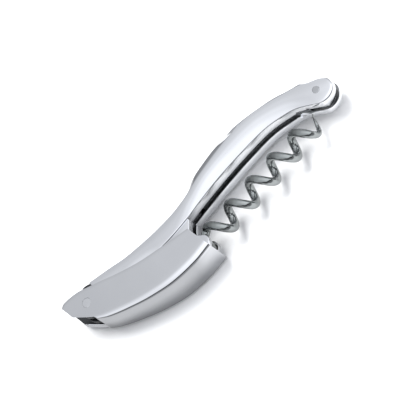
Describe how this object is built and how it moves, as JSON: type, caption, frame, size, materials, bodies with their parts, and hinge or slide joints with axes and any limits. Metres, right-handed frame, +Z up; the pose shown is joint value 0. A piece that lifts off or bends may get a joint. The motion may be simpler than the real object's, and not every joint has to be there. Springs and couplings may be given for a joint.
{
  "type": "waiters corkscrew",
  "caption": "Chrome waiters corkscrew, closed: curved two-plate handle with a foil knife in its back, a hinged worm and a folding channel lever.",
  "frame": {"origin": "centre of the bounding box, at the surface the closed corkscrew lies on", "axes": "+X along the length toward the rounded end of the grip, +Y toward the back of the handle, +Z up through the thickness"},
  "size_m": [0.1148, 0.034, 0.014],
  "materials": {
    "chrome_plate": "polished",
    "worm_chrome": "polished, slightly worn",
    "blade_steel": "fine brushed",
    "pin_steel": "satin",
    "washer_brass": "satin"
  },
  "bodies": {
    "handle": {"knife_leaf_spring": "blade_steel", "knife_pivot_pin": "pin_steel", "knife_stop_pin": "pin_steel", "knife_washer_far": "washer_brass", "knife_washer_near": "washer_brass", "lever_washer_far": "washer_brass", "lever_washer_near": "washer_brass", "neck_rivet": "pin_steel", "neck_spacer": "pin_steel", "side_plate_far": "chrome_plate", "side_plate_near": "chrome_plate", "tail_rivet": "pin_steel", "tail_spacer": "pin_steel", "worm_leaf_spring": "blade_steel", "worm_pivot_pin": "pin_steel", "worm_washer_far": "washer_brass", "worm_washer_near": "washer_brass"},
    "knife": {"foil_knife": "blade_steel"},
    "worm": {"worm": "worm_chrome"},
    "lever": {"lever": "chrome_plate", "lever_pivot_pin": "pin_steel"}
  },
  "joints": [
    {"name": "knife_hinge", "type": "hinge", "parent": "handle", "child": "knife", "pos_m": [0.05192, 0.00296, 0.007], "axis": [0, 0, -1], "range_deg": [0, 175]},
    {"name": "worm_hinge", "type": "hinge", "parent": "handle", "child": "worm", "pos_m": [-0.00779, -0.01107, 0.007], "axis": [0, 0, -1], "range_deg": [0, 90]},
    {"name": "lever_hinge", "type": "hinge", "parent": "handle", "child": "lever", "pos_m": [-0.04918, 0.00124, 0.007], "axis": [0, 0, -1], "range_deg": [0, 150]}
  ]
}
